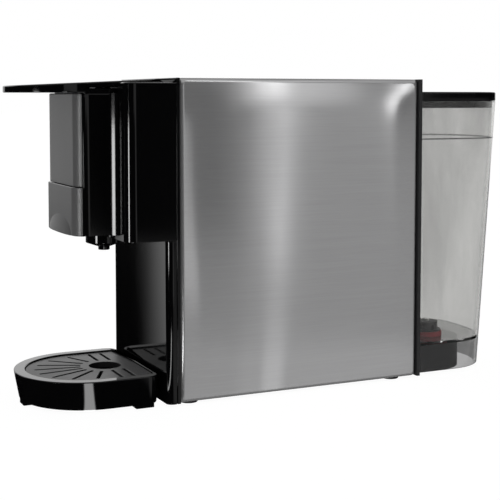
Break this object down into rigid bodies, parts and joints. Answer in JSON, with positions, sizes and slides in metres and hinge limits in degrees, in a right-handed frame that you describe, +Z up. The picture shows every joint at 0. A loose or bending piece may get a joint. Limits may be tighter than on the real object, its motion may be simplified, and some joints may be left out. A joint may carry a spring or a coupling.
{
  "type": "pod coffee machine",
  "caption": "Upright pod coffee machine with brushed steel sides, a long top lever, a pull-out capsule holder, a half-round drip tray and a clear lift-off water tank behind.",
  "frame": {"origin": "middle of the footprint, on the floor under the feet", "axes": "+Z up, -Y towards the front with the drip tray, +X to the right as seen from behind the lever's tip looking at the rear"},
  "size_m": [0.124, 0.424, 0.246],
  "materials": {
    "black_gloss": "high-gloss moulded black",
    "black_matte": "fine-grained black moulding",
    "brushed_panel": "fine horizontal brushing, rolled edges",
    "head_gray": "satin dark gray, glossy flanks",
    "grille_gray": "matte dark gray moulding",
    "clear_tank": "clear, slightly smoky moulded plastic",
    "black_rubber": "soft matte rubber",
    "red_seal": "red silicone",
    "steel": "plain bright steel",
    "button_silver": "satin chrome plated caps",
    "inner_plastic": "natural white plastic",
    "circuit_board": "green board with dark components",
    "coil_housing": "moulded coil body",
    "cast_heater": "rough die-cast",
    "clear_hose": "milky silicone hose",
    "white_hose": "white pressure hose"
  },
  "bodies": {
    "machine": {"base_chassis": "black_matte", "front_column": "black_gloss", "upper_housing": "black_gloss", "front_frame": "black_gloss", "rear_cover": "black_matte", "side_panel_left": "brushed_panel", "side_panel_right": "brushed_panel", "top_cover": "black_gloss", "bulkhead": "black_matte", "head_housing": "head_gray", "piston_guide": "inner_plastic", "lever_pin": "steel", "valve_socket": "black_rubber", "control_board": "circuit_board", "board_screws": "steel", "pump_coil": "coil_housing", "pump_body": "inner_plastic", "pump_mounts": "black_rubber", "pump_bracket": "steel", "flow_meter": "inner_plastic", "heater_block": "cast_heater", "heater_bracket": "steel", "suction_hose": "clear_hose", "feed_hose": "clear_hose", "pressure_hose": "white_hose", "brew_hose": "white_hose", "cable_gland": "black_rubber", "rubber_feet": "black_rubber", "base_screws": "steel"},
    "lever": {"lever": "black_gloss"},
    "piston": {"piston": "inner_plastic", "piercer_plate": "steel", "piston_seal": "red_seal", "return_spring": "steel"},
    "capsule_holder": {"holder_front": "head_gray", "holder_body": "black_matte", "capsule_basket": "steel", "spout": "black_gloss"},
    "drip_tray": {"drip_tray": "black_gloss"},
    "drip_grille": {"drip_grille": "grille_gray"},
    "water_tank": {"water_tank": "clear_tank", "valve_cage": "black_matte", "valve_seal": "red_seal", "valve_spring": "steel"},
    "valve_plunger": {"valve_plunger": "inner_plastic"},
    "tank_lid": {"tank_lid": "black_gloss"},
    "cup_button_small": {"cup_button_small": "button_silver"},
    "cup_button_large": {"cup_button_large": "button_silver"}
  },
  "joints": [
    {"name": "lever_hinge", "type": "hinge", "parent": "machine", "child": "lever", "pos_m": [0, -0.10875, 0.2368], "axis": [-1, 0, 0], "range_deg": [0, 85]},
    {"name": "piston_slide", "type": "slide", "parent": "machine", "child": "piston", "axis": [0, 0, 1], "range_m": [0, 0.012], "deforming": ["return_spring"]},
    {"name": "holder_slide", "type": "slide", "parent": "machine", "child": "capsule_holder", "axis": [0, -1, 0], "range_m": [0, 0.062]},
    {"name": "tray_slide", "type": "slide", "parent": "machine", "child": "drip_tray", "axis": [0, -1, 0], "range_m": [0, 0.11]},
    {"name": "grille_lift", "type": "slide", "parent": "drip_tray", "child": "drip_grille", "axis": [0, 0, 1], "range_m": [0, 0.03]},
    {"name": "tank_lift", "type": "slide", "parent": "machine", "child": "water_tank", "axis": [0, 0, 1], "range_m": [0, 0.06]},
    {"name": "lid_lift", "type": "slide", "parent": "water_tank", "child": "tank_lid", "axis": [0, 0, 1], "range_m": [0, 0.03]},
    {"name": "valve_open", "type": "slide", "parent": "water_tank", "child": "valve_plunger", "axis": [0, 0, 1], "range_m": [0, 0.003], "stiffness_N_per_m": 80, "deforming": ["valve_spring"]},
    {"name": "small_cup_press", "type": "slide", "parent": "machine", "child": "cup_button_small", "axis": [0, 0, -1], "range_m": [0, 0.0015], "stiffness_N_per_m": 200},
    {"name": "large_cup_press", "type": "slide", "parent": "machine", "child": "cup_button_large", "axis": [0, 0, -1], "range_m": [0, 0.0015], "stiffness_N_per_m": 200}
  ],
  "couplings": [
    {"joint": "piston_slide", "follows": "lever_hinge", "m_per_rad": 0.008088}
  ]
}
